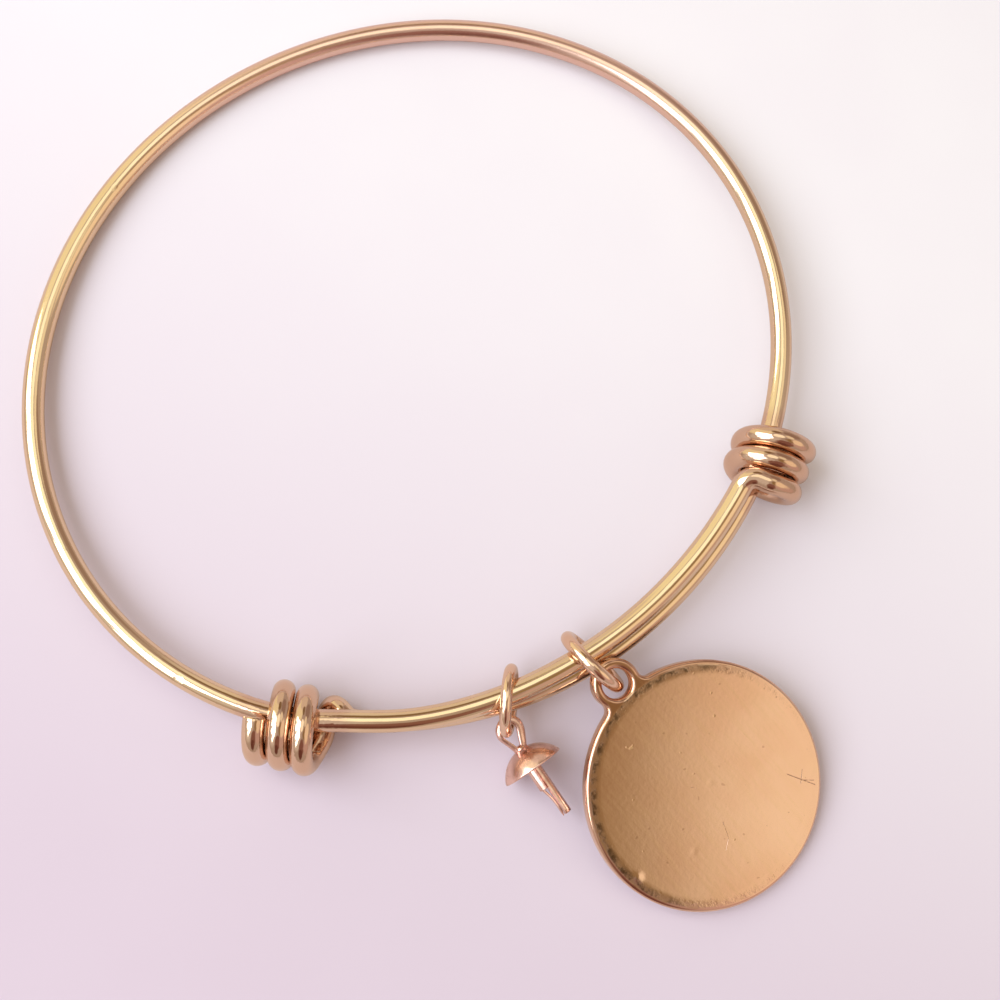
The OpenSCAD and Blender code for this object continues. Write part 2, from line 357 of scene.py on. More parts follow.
def ring_path(ring, joint, gap_mm=0.06, steps=120):
    """Points once round a jump ring, from one side of its joint to the other."""
    middle, radius, _, turn, lean = ring
    place = Matrix.Rotation(math.radians(turn), 3, "Z") @ Matrix.Rotation(math.radians(lean), 3, "X")
    half_gap = gap_mm / 2 / radius
    ends = [d / radius for d in END_STEPS]
    whole = 2 * math.pi - 2 * half_gap
    angles = ends[:-1] + [ends[-1] + (whole - 2 * ends[-1]) * i / steps for i in range(steps + 1)]
    angles += [whole - a for a in reversed(ends[:-1])]
    points = []
    for a in angles:
        t = math.radians(joint) + half_gap + a
        points.append(middle + place @ Vector((radius * math.cos(t), 0, radius * math.sin(t))))
    return points


def local_to_row(middle, turn, tip, spin=0.0):
    """From a charm's own frame to the row frame, in millimetres."""
    return (Matrix.Translation(middle) @ Matrix.Rotation(math.radians(turn), 4, "Z")
            @ Matrix.Rotation(math.radians(tip), 4, "Y")
            @ Matrix.Rotation(math.radians(spin), 4, "Z"))


def new_piece(name, bm, place, metal):
    """A smooth mesh piece from a bmesh in millimetres."""
    bmesh.ops.transform(bm, matrix=Matrix.Scale(MM, 4) @ place, verts=bm.verts)
    mesh = bpy.data.meshes.new(name)
    bm.to_mesh(mesh)
    bm.free()
    for face in mesh.polygons:
        face.use_smooth = True
    mesh.materials.append(metal)
    piece = bpy.data.objects.new(name, mesh)
    bpy.context.scene.collection.objects.link(piece)
    return piece


def smooth_step(low, high, v):
    t = min(max((v - low) / (high - low), 0), 1)
    return t * t * (3 - 2 * t)


class DiscOutline:
    """The charm's outline: disc, ear and the two rounds of the neck between them."""

    def __init__(self):
        to_disc, to_ear = DISC_R + NECK_ROUND, EAR_R + NECK_ROUND
        a = math.acos((to_disc ** 2 + EAR_REACH ** 2 - to_ear ** 2) / (2 * to_disc * EAR_REACH))
        self.round_at = Vector((to_disc * math.cos(a), to_disc * math.sin(a)))
        self.disc_angle = a
        self.ear_angle = math.atan2(self.round_at.y, self.round_at.x - EAR_REACH)

    def loop(self, step):
        """Points round the outline with their outward directions."""
        def arc(centre, r, start, end, sign):
            n = max(3, round(abs(end - start) * r / step))
            rows = []
            for i in range(n):
                t = start + (end - start) * i / n
                d = Vector((math.cos(t), math.sin(t)))
                rows.append((Vector(centre) + r * d, d * sign))
            return rows
        up, down = self.round_at, Vector((self.round_at.x, -self.round_at.y))
        a, e = self.disc_angle, self.ear_angle
        return (arc((0, 0), DISC_R, a, 2 * math.pi - a, 1)
                + arc(down, NECK_ROUND, math.pi - a, math.pi - e, -1)
                + arc((EAR_REACH, 0), EAR_R, -e, e, 1)
                + arc(up, NECK_ROUND, e - math.pi, a - math.pi, -1))

    def inside(self, x, y, margin):
        """Whether a point is inside the outline by at least the margin."""
        if math.hypot(x, y) < DISC_R - margin:
            return True
        if math.hypot(x - EAR_REACH, y) < EAR_R - margin:
            return True
        reach = math.hypot(x - self.round_at.x, abs(y) - self.round_at.y)
        between = 0 < x < EAR_REACH and abs(y) < self.round_at.y * min(
            x / self.round_at.x, (EAR_REACH - x) / (EAR_REACH - self.round_at.x))
        return between and reach > NECK_ROUND + margin


# Small dents in the disc's upper face: place, radius and depth
DENTS = (((-1.35, 8.92), 0.27, -0.05), ((-3.11, 4.19), 0.13, 0.012),
         ((-0.12, -0.41), 0.13, 0.01), ((-7.59, -3.70), 0.15, 0.01))


# Where the charm thins to its ear's thickness, along the way to the ear
THIN_FROM, THIN_TO = 9.2, 10.4
# How far the faces drop at the edge and between which radii, and where the neck ends the drop
DROP, DROP_FROM, DROP_TO = 0.05, 9.0, 9.75
NECK_FROM, NECK_TO = 8.8, 9.8
# Rounding of the outer edge and of the hole's edge, and the turns at which it has points
OUTER_EDGE, HOLE_EDGE = 0.32, 0.34
EDGE_TURNS = [math.radians(a) for a in range(0, 91, 10)]
HOLE_SIDES = 72
# Room between the outline and the inner points, and the least room of a kept triangle
POINT_ROOM, FACE_ROOM = 0.42, 0.3
# The ear's grid of points: its start and end towards the ear, and its half width
GRID_FROM, GRID_TO, GRID_HALF = 9.4, 13.4, 2.2
# Spacing of the inner points beside that of the outline, and the distance at which
# two points count as one
INNER_STEP = 0.95
SAME_POINT = 1e-6


def disc_half(x):
    """Half of the charm's thickness, which is a little less at the ear."""
    return DISC_T / 2 + (EAR_T - DISC_T) / 2 * smooth_step(THIN_FROM, THIN_TO, x)


def face_height(x, y, upper):
    """Height of the disc's flat faces, which drop a little towards the edge."""
    r = math.hypot(x, y)
    open_edge = 1 - smooth_step(NECK_FROM, NECK_TO, x)
    height = disc_half(x) - DROP * smooth_step(DROP_FROM, DROP_TO, r) * open_edge
    if upper:
        for (u, v), radius, depth in DENTS:
            height -= depth * math.exp(-((x - u) ** 2 + (y - v) ** 2) / radius ** 2)
    return height


def hole_loop():
    """Points round the ear's hole, each with its direction out of the metal."""
    rows = []
    for i in range(HOLE_SIDES):
        t = 2 * math.pi * i / HOLE_SIDES
        d = Vector((math.cos(t), math.sin(t)))
        rows.append((Vector((EAR_REACH, 0)) + EAR_HOLE_R * d, -d))
    return rows


def edge_rings(bm, rows, edge, sign):
    """Rings of vertices round an eased edge, from the charm's waist to its flat face."""
    rings = []
    for t in EDGE_TURNS:
        inset, drop = edge * (1 - math.cos(t)), edge * (1 - math.sin(t))
        ring = []
        for p, d in rows:
            q = p - d * inset
            z = face_height(q.x, q.y, sign > 0) - drop
            ring.append(bm.verts.new((q.x, q.y, sign * z)))
        rings.append(ring)
    return rings


def skin(bm, a, b):
    """Faces between two closed rings of as many vertices."""
    n = len(a)
    for i in range(n):
        j = (i + 1) % n
        bm.faces.new((a[i], a[j], b[j], b[i]))


def inner_points(shape, grid):
    """Points inside a flat face: rings round the disc's middle, and a grid in the ear."""
    points = []
    reach = DISC_R - OUTER_EDGE
    for k in range(1, int((DISC_R - POINT_ROOM) / grid)):
        r = reach - grid * k
        if r < grid * 0.6:
            break
        n = max(6, round(2 * math.pi * r / grid))
        turns = [2 * math.pi * (i + 0.5 * (k % 2)) / n for i in range(n)]
        points += [Vector((r * math.cos(t), r * math.sin(t))) for t in turns]
    points.append(Vector((0, 0)))
    for ix in range(int(GRID_FROM / grid), int(GRID_TO / grid)):
        for iy in range(-int(GRID_HALF / grid), int(GRID_HALF / grid) + 1):
            x, y = ix * grid + 0.5 * grid * (iy % 2), iy * grid
            beyond = math.hypot(x, y) > reach - grid * 0.4
            clear = math.hypot(x - EAR_REACH, y) > EAR_HOLE_R + POINT_ROOM
            if beyond and clear and shape.inside(x, y, POINT_ROOM):
                points.append(Vector((x, y)))
    return points


def flat_face(bm, shape, rims, sign, grid):
    """Small triangles between the outer rim and the hole's rim, on one side."""
    verts = [v for rim in rims for v in rim]
    points = [v.co.xy for v in verts]
    edges, start = [], 0
    for rim in rims:
        n = len(rim)
        edges += [(start + i, start + (i + 1) % n) for i in range(n)]
        start += n
    points += inner_points(shape, grid)
    flat, _, faces, *_ = delaunay_2d_cdt(points, edges, [], 0, SAME_POINT)
    for p in flat[len(verts):]:
        verts.append(bm.verts.new((p.x, p.y, sign * face_height(p.x, p.y, sign > 0))))
    for face in faces:
        mid = sum((flat[i] for i in face), Vector((0, 0))) / 3
        in_hole = math.hypot(mid.x - EAR_REACH, mid.y) < EAR_HOLE_R + HOLE_EDGE
        if not in_hole and shape.inside(mid.x, mid.y, FACE_ROOM):
            bm.faces.new([verts[i] for i in face])


def disc_mesh(step):
    """The disc charm in its own frame, in millimetres."""
    shape = DiscOutline()
    outline, hole = shape.loop(step), hole_loop()
    bm = bmesh.new()
    waists = []
    for sign in (1, -1):
        outer = edge_rings(bm, outline, OUTER_EDGE, sign)
        inner = edge_rings(bm, hole, HOLE_EDGE, sign)
        for rings in (outer, inner):
            for a, b in zip(rings, rings[1:]):
                skin(bm, a, b)
        flat_face(bm, shape, (outer[-1], inner[-1]), sign, step * INNER_STEP)
        waists.append((outer[0], inner[0]))
    for above, below in zip(*waists):
        skin(bm, above, below)
    bmesh.ops.recalc_face_normals(bm, faces=bm.faces)
    return bm


def lathe(bm, profile, steps):
    """Turns a closed profile of (radius, height) about Z. A radius of 0 is a pole."""
    rings = []
    for r, z in profile:
        if r == 0:
            rings.append([bm.verts.new((0, 0, z))] * steps)
        else:
            rings.append([bm.verts.new((r * math.cos(2 * math.pi * i / steps),
                                        r * math.sin(2 * math.pi * i / steps), z))
                          for i in range(steps)])
    for a, b in zip(rings, rings[1:]):
        for i in range(steps):
            j = (i + 1) % steps
            corners = []
            for v in (a[i], a[j], b[j], b[i]):
                if v not in corners:
                    corners.append(v)
            if len(corners) > 2:
                bm.faces.new(corners)


# Turns, in degrees, at which the cup's eased rim has points
RIM_TURNS = (25, 50, 70, 90)


def dome_profile(ease=0.10, steps=28):
    """Half section of the cup, from the crown outside, over its rim, to the inside."""
    outer = (CUP_R ** 2 + CUP_H ** 2) / (2 * CUP_H)
    inner = outer - CUP_WALL
    low = CUP_H - ease
    r_out = math.sqrt(outer ** 2 - (outer - low) ** 2)
    r_in = math.sqrt(inner ** 2 - (outer - low) ** 2)

    def shell(radius, edge):
        last = math.asin(edge / radius)
        return [(radius * math.sin(last * i / steps), outer - radius * math.cos(last * i / steps))
                for i in range(1, steps + 1)]

    turns = [math.radians(a) for a in RIM_TURNS]
    rim = [(r_out - ease * (1 - math.cos(t)), low + ease * math.sin(t)) for t in turns]
    lip = [(r_in + ease * (1 - math.cos(t)), low + ease * math.sin(t)) for t in reversed(turns)]
    return [(0, 0), *shell(outer, r_out), *rim, *lip, *reversed(shell(inner, r_in)), (0, CUP_WALL)]


def sweep(bm, centres, across, section, ends=(1.0, 1.0), depths=None):
    """A closed section carried along centres that lie in one plane. across is the
    direction out of that plane, a section point is (out, across), and depths scales
    the section's reach outwards at each centre."""
    rings = []
    n = len(centres)
    for i, c in enumerate(centres):
        ahead = (centres[min(i + 1, n - 1)] - centres[max(i - 1, 0)]).normalized()
        out = ahead.cross(across).normalized()
        k = ends[0] if i == 0 else ends[1] if i == n - 1 else 1.0
        deep = k * (depths[i] if depths else 1.0)
        rings.append([bm.verts.new(c + deep * u * out + k * v * across) for u, v in section])
    for a, b in zip(rings, rings[1:]):
        for i in range(len(section)):
            j = (i + 1) % len(section)
            bm.faces.new((a[i], a[j], b[j], b[i]))
    bm.faces.new(rings[0])
    bm.faces.new(rings[-1][::-1])


def half_round(width, depth, steps=10, edge=0.12):
    """A half-round section with eased corners: flat side at 0, crown at depth."""
    half = width / 2
    points = []
    for i in range(steps + 1):
        a = math.pi * i / steps
        points.append((edge * depth + (1 - edge) * depth * math.sin(a), half * math.cos(a)))
    points.append((0, -half * (1 - edge)))
    points.append((0, half * (1 - edge)))
    return points


# Middle of one leg of the eye's strip, from inside the cup: side and height
EYE_LEG = ((0.10, 0.30), (0.10, 0.0), (0.13, -0.22))
LEG_STEPS, BOW_STEPS = 6, 14


def eye_path():
    """The middle of the eye's strip: up one leg, round the bow and down the other leg."""
    inner = EYE_R - EYE_WIRE / 2
    centre = Vector((0, 0, -EYE_REACH))
    start = math.asin(inner / EYE_REACH)
    halves = []
    for side in (1, -1):
        leg = [Vector((side * x, 0, z)) for x, z in EYE_LEG]
        first = centre + inner * Vector((side * math.cos(start), 0, math.sin(start)))
        leg += [leg[2].lerp(first, i / LEG_STEPS) for i in range(1, LEG_STEPS)]
        bow = []
        for i in range(BOW_STEPS + 1):
            a = start - (start + math.pi / 2) * i / BOW_STEPS
            bow.append(centre + inner * Vector((side * math.cos(a), 0, math.sin(a))))
        halves.append(leg + bow)
    return halves[0] + halves[1][::-1][1:]


# Middle of the torn tail of the peg's short leg, from the leg's end: side, lift, step outwards
TORN_TAIL = ((-0.40, 0.0, -0.25), (-0.33, 0.05, 0.15), (-0.22, 0.08, 0.6), (-0.14, 0.10, 1.1),
             (-0.11, 0.10, 1.6), (-0.12, 0.10, 2.05), (-0.16, 0.08, 2.5))


# The eye's strip: its width and depth, and how much deeper it gets towards one side
STRIP_WIDTH, STRIP_DEPTH = EYE_WIRE * 0.96, EYE_WIRE * 0.62
STRIP_LEAST, STRIP_MORE, STRIP_FROM, STRIP_TO = 0.95, 0.6, -0.5, 0.6
# Each leg of the peg: its width and depth, and half of the slit between the two
LEG_WIDTH, LEG_DEPTH, HALF_SLIT = PEG_R * 1.96, PEG_R * 1.08, 0.02
TAIL_HALF_DEPTH, TAIL_HALF_WIDTH, TAIL_SIDES = 0.11, 0.2, 10
# Half section of the bead of solder at the crown: radius and height
SOLDER = ((0, -0.30), (0.22, -0.29), (0.36, -0.22), (0.45, -0.10), (0.50, 0.02),
          (0.50, 0.12), (0.3, 0.2), (0, 0.22))
DOME_SIDES, SOLDER_SIDES = 96, 32
CUP_SHARP = 50


def eye_strip(bm, across):
    """The teardrop eye, raised a little from the table."""
    raised = Matrix.Rotation(math.radians(EYE_RISE), 3, "X")
    path = eye_path()
    wide = [STRIP_LEAST + STRIP_MORE * smooth_step(STRIP_FROM, STRIP_TO, p.x) for p in path]
    sweep(bm, [raised @ p for p in path], raised @ across,
          half_round(STRIP_WIDTH, STRIP_DEPTH), (0.9, 0.9), wide)


def peg_legs(bm, across):
    """The peg's long leg, and its short one that ends in a torn tail."""
    leg = half_round(LEG_WIDTH, LEG_DEPTH)
    long_end, short_end = CUP_H + PEG_REACH - 0.02, CUP_H + PEG_SHORT
    long_steps = (0.2, 1.0, 2.0, 3.0, 4.0, 5.0, 5.8, long_end - 0.06, long_end)
    short_steps = (short_end, short_end - 0.05, 2.8, 1.5, 0.2)
    sweep(bm, [Vector((HALF_SLIT, 0, z)) for z in long_steps], -across, leg, (1.0, 0.88))
    sweep(bm, [Vector((-HALF_SLIT, 0, z)) for z in short_steps], -across, leg, (0.82, 1.0))
    turns = [2 * math.pi * i / TAIL_SIDES for i in range(TAIL_SIDES)]
    thin = [(TAIL_HALF_DEPTH * math.cos(a), TAIL_HALF_WIDTH * math.sin(a)) for a in turns]
    tail = [Vector((x, y, short_end + z)) for x, y, z in TORN_TAIL]
    sweep(bm, tail, across, thin, (1.0, 0.45))


def cup_mesh():
    """The pearl cup in its own frame: crown at the origin, mouth towards +Z."""
    bm = bmesh.new()
    across = Vector((0, 1, 0))
    lathe(bm, dome_profile(), DOME_SIDES)
    eye_strip(bm, across)
    peg_legs(bm, across)
    lathe(bm, SOLDER, SOLDER_SIDES)
    bmesh.ops.recalc_face_normals(bm, faces=bm.faces)
    return bm


class Plating:
    """A polished plating while it is made: its colour, roughness and height so far."""

    def __init__(self, name, look, place, grain):
        """place makes the vector that the drawn lines follow. grain holds, in metres or
        per metre, the sizes of its lines, clouds, mottle and nicks."""
        self.material = bpy.data.materials.new(name)
        self.material.use_nodes = True
        self.nodes = nodes = Nodes(self.material.node_tree)
        self.place = place(nodes)
        own = on_object(nodes)
        lines = nodes.noise(nodes.scaled(self.place, grain["drawn"]), 1.0, 3.0, 0.6)
        cloud = nodes.noise(own, grain["cloud"], 3.0, 0.55).step(0.36, 0.68)
        fine = nodes.noise(own, grain["mottle"], 2.0, 0.5)
        nick = nodes.noise(own, grain["nick"], 1.0, 0.4).step(0.76, 0.82)
        worn = (*look.worn, 1.0)
        colour = nodes.mix(cloud, (*look.pale, 1.0), (*look.deep, 1.0))
        colour = nodes.mix(lines.step(0.35, 0.75) * 0.18, colour, worn)
        self.colour = nodes.mix(nick * 0.5, colour, worn)
        self.rough = look.roughness + lines.step(0.4, 0.8) * 0.06 + cloud * 0.03 + nick * 0.15
        self.height = (lines * grain["line_depth"] + fine * grain["mottle_depth"]
                       - nick * grain["nick_depth"])

    def finish(self):
        nodes = self.nodes
        bump = nodes.add("ShaderNodeBump", None, {"Height": self.height, "Distance": 1.0})
        shader = nodes.add("ShaderNodeBsdfPrincipled", None, {
            "Base Color": self.colour, "Metallic": 1.0, "Roughness": self.rough.clamped(),
            "Normal": bump})
        nodes.finish("ShaderNodeOutputMaterial", "Surface", shader)
        return self.material


def along_wire(nodes):
    return nodes.add("ShaderNodeAttribute", {"attribute_name": "wire_place"}, (), 1)


def on_object(nodes):
    return nodes.add("ShaderNodeTexCoord", None, (), 3)


def on_disc(nodes):
    """The disc's own frame: +X to its ear and +Z out of its upper face."""
    return nodes.add("ShaderNodeMapping", {"vector_type": "TEXTURE"}, {
        "Vector": on_object(nodes), "Location": [v * MM for v in DISC_MIDDLE],
        "Rotation": (0.0, math.radians(-DISC_SLOPE), math.radians(DISC_TURN))})


# Places along Y, in metres, between which the band gets a painted rosy reflection, and the distances
# from a coil's middle between which the wire stops being wound
BACK_FROM, BACK_TO = 0.012, 0.029
WOUND_TO, WOUND_FROM = 0.0038, 0.0052
# Painted shade between the turns of a coil: the wound wire is mixed halfway towards this darker
# colour
WOUND_SHADE_COLOUR = linear(214, 180, 158)
WOUND_HEIGHT = 0.000032


def wire_metal(name, look, champagne, strength=1.0):
    """Plated wire. champagne is how much of its colour is paler and yellower. It is
    softer at the back, with a painted rosy reflection there, and uneven where it is wound
    tightly, where painted shade makes it darker, rosier and less yellow."""
    plating = Plating(name, look, along_wire, {
        "drawn": (5.0, 5.0, 260.0), "cloud": 160.0, "mottle": 1400.0, "nick": 420.0,
        "line_depth": 0.0000035 * strength, "mottle_depth": 0.000003,
        "nick_depth": 0.000012})
    nodes = plating.nodes
    own = on_object(nodes)
    back = nodes.parts(own)[1].step(BACK_FROM, BACK_TO)
    wound = 0.0
    for coil in (LEFT_COIL, RIGHT_COIL):
        away = nodes.add("VectorMath", {"operation": "DISTANCE"}, [own, coil[0] * MM], 1)
        wound = wound + (1 - away.step(WOUND_TO, WOUND_FROM))
    # Painted shade on the coils: less champagne there, and mixed towards a darker colour below
    yellower = champagne * (1 - wound * 0.6)
    plating.colour = nodes.mix(yellower, plating.colour, (*look.champagne, 1.0))
    # Painted reflection: the back of the band is mixed towards a rosy colour
    plating.colour = nodes.mix(back * 0.7, plating.colour, (*look.back_reflection, 1.0))
    plating.colour = nodes.mix(wound * 0.5, plating.colour, WOUND_SHADE_COLOUR)
    plating.rough = plating.rough + back * 0.13
    uneven = nodes.noise(own, 950.0, 2.0, 0.55) * WOUND_HEIGHT
    plating.height = plating.height + uneven * wound
    return plating.finish()


COPPER, THIN_COPPER = linear(250, 214, 206), linear(224, 182, 172)


def cup_metal(name, look):
    """The cup's plating is thinner, so its copper shows through."""
    plating = Plating(name, look, on_object, {
        "drawn": (1400.0, 1400.0, 1400.0), "cloud": 500.0, "mottle": 1500.0, "nick": 900.0,
        "line_depth": 0.000003, "mottle_depth": 0.000009, "nick_depth": 0.00001})
    nodes = plating.nodes
    thin = nodes.noise(plating.place, 900.0, 3.0, 0.6).step(0.35, 0.65)
    copper = nodes.mix(thin, COPPER, THIN_COPPER)
    plating.colour = nodes.mix(0.85, plating.colour, copper)
    plating.rough = plating.rough + 0.10 + thin * 0.08
    return plating.finish()


# Hair scratches on the disc, each from one point to another, with half their width
SCRATCHES = (((-3.10, 0.90), (-4.35, 1.40), 0.018), ((-4.35, 1.40), (-4.93, 2.20), 0.016),
             ((-4.05, -5.60), (-6.45, -6.85), 0.024), ((-4.75, -6.85), (-5.5, -6.0), 0.02),
             ((0.45, 0.72), (0.80, 0.98), 0.02), ((-5.3, -6.2), (-6.1, -7.0), 0.02))

SCRATCH_COLOUR = linear(120, 76, 48)
# Colour of the painted dark reflection along the disc's border
BORDER_REFLECTION_COLOUR = linear(92, 72, 46)
# Colour of the painted shade on the disc's rim, on the side towards the cup
RIM_SHADE_COLOUR = linear(198, 150, 124)
# Heights in the disc's own frame, in millimetres, between which its upper face begins
UPPER_FROM, UPPER_TO = 0.3, 0.5
# Direction from the disc's middle towards the cup, in the disc's own frame
TO_CUP = (0.80, 0.60)


def disc_metal(name, look):
    """The disc's plating, with hair scratches, specks, a painted dark reflection along its border
    and painted shade on its rim.
    """
    plating = Plating(name, look, on_disc, {
        "drawn": (240.0, 2600.0, 240.0), "cloud": 90.0, "mottle": 2600.0, "nick": 1500.0,
        "line_depth": 0.0000010, "mottle_depth": 0.0000016, "nick_depth": 0.000006})
    nodes, own = plating.nodes, plating.place
    x, y, z = (v * (1 / MM) for v in nodes.parts(own))
    scratched = None
    for (ax, ay), (bx, by), half in SCRATCHES:
        ux, uy = bx - ax, by - ay
        t = (((x - ax) * ux + (y - ay) * uy) / (ux * ux + uy * uy)).clamped()
        dx, dy = x - ax - t * ux, y - ay - t * uy
        mark = 1 - (dx * dx + dy * dy).math("SQRT").step(half * 0.4, half * 1.8)
        scratched = mark if scratched is None else scratched.math("MAXIMUM", mark)
    upper = z.step(UPPER_FROM, UPPER_TO)
    scratched = scratched * nodes.noise(own, 2200.0, 2.0).step(0.30, 0.55) * upper
    reach = (x * x + y * y).math("SQRT")
    border_mottle = nodes.noise(own, 1150.0, 4.0, 0.65).step(0.40, 0.62)
    border = reach.step(8.85, 9.40) * (1 - reach.step(9.54, 9.70)) * upper
    # The painted dark reflection along the border is darkest on the side that faces the cup
    near = (x * TO_CUP[0] + y * TO_CUP[1]) / reach
    border_reflection = border * near.step(-0.3, 0.4) * (0.30 + 0.70 * border_mottle)
    # Painted shade: the rim is darker and browner on the side towards the cup, which tones down its
    # highlight
    rim = reach.step(9.60, 9.74) * near.step(-0.4, 0.3) * upper
    specks = nodes.noise(own, 1500.0, 1.0, 0.4).step(0.73, 0.78) * upper
    marked = scratched * 0.3 + specks * 0.25
    plating.colour = nodes.mix(marked, plating.colour, SCRATCH_COLOUR)
    plating.colour = nodes.mix(border_reflection * 0.85, plating.colour, BORDER_REFLECTION_COLOUR)
    plating.colour = nodes.mix(rim * 0.6, plating.colour, RIM_SHADE_COLOUR)
    plating.rough = plating.rough + scratched * 0.25 + border * 0.08
    plating.height = plating.height - scratched * 0.00001 + border * border_mottle * 0.000008
    return plating.finish()


def colour_property(name, description, colour):
    return FloatVectorProperty(name=name, description=description, subtype="COLOR", size=3,
                               min=0, max=1, default=tuple(colour)[:3])


class MetalLook(bpy.types.PropertyGroup):
    pale: colour_property("Pale", "Colour of the freshly plated metal", linear(243, 209, 188))
    deep: colour_property("Deep", "Colour where the plating is deeper", linear(238, 198, 174))
    champagne: colour_property("Champagne", "Paler colour of the band's wire", linear(240, 218, 182))
    # Colour of the painted rosy reflection at the back of the band
    back_reflection: colour_property("Rose", "Colour at the back of the band", linear(250, 212, 204))
    worn: colour_property("Worn", "Colour where the plating is rubbed", linear(246, 217, 172))
    roughness: FloatProperty(
        name="Roughness", description="Roughness of the polish", default=0.07, min=0.02, max=0.6)


class BangleSizes(bpy.types.PropertyGroup):
    wire_radius: FloatProperty(
        name="Wire Radius", description="Radius of the band's wire", unit="LENGTH",
        subtype="DISTANCE", default=0.885 * MM, min=0.8 * MM, max=0.9 * MM, precision=5)
    wire_sides: IntProperty(
        name="Wire Sides", description="Faces round the band's wire", default=28, min=12, max=32)
    path_steps: IntProperty(
        name="Path Steps", description="Points in a turn of an end coil",
        default=72, min=24, max=96)
    disc_grain: FloatProperty(
        name="Disc Grain", description="Spacing of the points on the disc", unit="LENGTH",
        subtype="DISTANCE", default=0.24 * MM, min=0.15 * MM, max=0.6 * MM, precision=5)
    light: FloatProperty(
        name="Window Light", description="Brightness of the window panes",
        default=3.6, min=0, max=20)
    floor: colour_property("Floor", "Colour of the table", linear(240, 242, 255))


# Lengths over which cut ends are eased, and how much of each wire's colour is champagne
BAND_END, RING_END = 0.22, 0.14
BAND_CHAMPAGNE, RING_CHAMPAGNE = 0.65, 0.15
# Strength of the rings' drawn lines, their sides, and how far they stay inside the solid
RING_LINES, RING_SIDES, RING_INSIDE = 1.4, 28, 0.003
# Directions of the two rings' joints, in degrees round each ring
DISC_RING_JOINT, CUP_RING_JOINT = -150, 12


def dress(piece, node):
    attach(piece, "root")
    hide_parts(node)


class BANGLE_OT_band(bpy.types.Operator):
    """Bend the band's wire, with its two end coils"""
    bl_idname = "bangle.band"
    bl_label = "Band"

    def execute(self, context):
        sizes, look = context.scene.bangle_sizes, context.scene.bangle_metal
        metal = wire_metal("band_plating", look, BAND_CHAMPAGNE)
        band = bent_wire("band", band_path(sizes.path_steps), sizes.wire_radius / MM,
                         sizes.wire_sides, BAND_END, metal)
        dress(band, "wire_bangle")
        return {"FINISHED"}


class BANGLE_OT_rings(bpy.types.Operator):
    """Bend the two jump rings, each with its joint nearly closed"""
    bl_idname = "bangle.rings"
    bl_label = "Jump Rings"

    def execute(self, context):
        look = context.scene.bangle_metal
        metal = wire_metal("ring_plating", look, RING_CHAMPAGNE, RING_LINES)
        rings = (("disc_ring", "disc_jump_ring", DISC_RING, DISC_RING_JOINT),
                 ("cup_ring", "cup_jump_ring", CUP_RING, CUP_RING_JOINT))
        for name, node, ring, joint in rings:
            radius = ring[2] / 2 - RING_INSIDE
            piece = bent_wire(name, ring_path(ring, joint), radius, RING_SIDES, RING_END, metal)
            dress(piece, node)
        return {"FINISHED"}


class BANGLE_OT_disc(bpy.types.Operator):
    """Make the disc charm with its ear, eased edges and small dents"""
    bl_idname = "bangle.disc"
    bl_label = "Disc Charm"

    def execute(self, context):
        metal = disc_metal("disc_plating", context.scene.bangle_metal)
        place = local_to_row(DISC_MIDDLE, DISC_TURN, -DISC_SLOPE)
        grain = context.scene.bangle_sizes.disc_grain / MM
        piece = new_piece("disc", disc_mesh(grain), place, metal)
        dress(piece, "disc_charm")
        return {"FINISHED"}


class BANGLE_OT_cup(bpy.types.Operator):
    """Make the empty pearl cup with its eye and its peg of folded wire"""
    bl_idname = "bangle.cup"
    bl_label = "Pearl Cup"

    def execute(self, context):
        metal = cup_metal("cup_plating", context.scene.bangle_metal)
        place = local_to_row(CUP_CROWN, CUP_TURN, 90, 90)
        piece = new_piece("cup", cup_mesh(), place, metal)
        piece.data.set_sharp_from_angle(angle=math.radians(CUP_SHARP))
        dress(piece, "pearl_cup")
        return {"FINISHED"}


# Window panes: direction and height in degrees, width and tallness in metres
PANES = ((158, 46, 0.13, 0.44), (176, 44, 0.13, 0.44), (196, 44, 0.13, 0.42), (217, 46, 0.13, 0.40))
LIGHT_AWAY = 0.55
PANE_COLOUR = (0.95, 0.97, 1.0)


def heading(direction, away):
    """A unit vector from its direction and its angle from overhead, in degrees."""
    a, b = math.radians(direction), math.radians(away)
    return Vector((math.sin(b) * math.cos(a), math.sin(b) * math.sin(a), math.cos(b)))


def aimed(at, to, up=Vector((0, 1, 0))):
    """A turn that looks from one point to another."""
    back = (at - to).normalized()
    right = up.cross(back).normalized()
    return Matrix((right, back.cross(right), back)).transposed().to_4x4()


# What the metal mirrors above the table: direction and angle from overhead of each
# part's middle, angles at which it is whole and gone, its colour and its brightness
ROOM = (
    ((196, 46), (34, 46), linear(232, 222, 210), 0.85),
    ((132, 62), (26, 36), linear(255, 246, 204), 1.0),
    ((95, 72), (20, 28), linear(228, 212, 190), 1.0),
    ((45, 57), (16, 23), linear(158, 134, 120), 1.0),
    ((90, 46), (9, 13), linear(138, 112, 80), 1.0),
    ((28, 32), (10, 14), linear(255, 243, 212), 0.95),
    ((276, 50), (19, 24), linear(140, 98, 86), 1.0),
    ((268, 68), (11, 16), linear(112, 70, 60), 1.0),
    ((326, 62), (18, 30), linear(205, 174, 164), 1.0),
    ((98, 10), (14, 17), linear(255, 251, 226), 1.35),
    ((-30, 30), (11, 18), linear(166, 138, 98), 0.85),
    ((-17, 50), (15, 23), linear(255, 234, 202), 1.0),
)
WALL = linear(186, 170, 158)


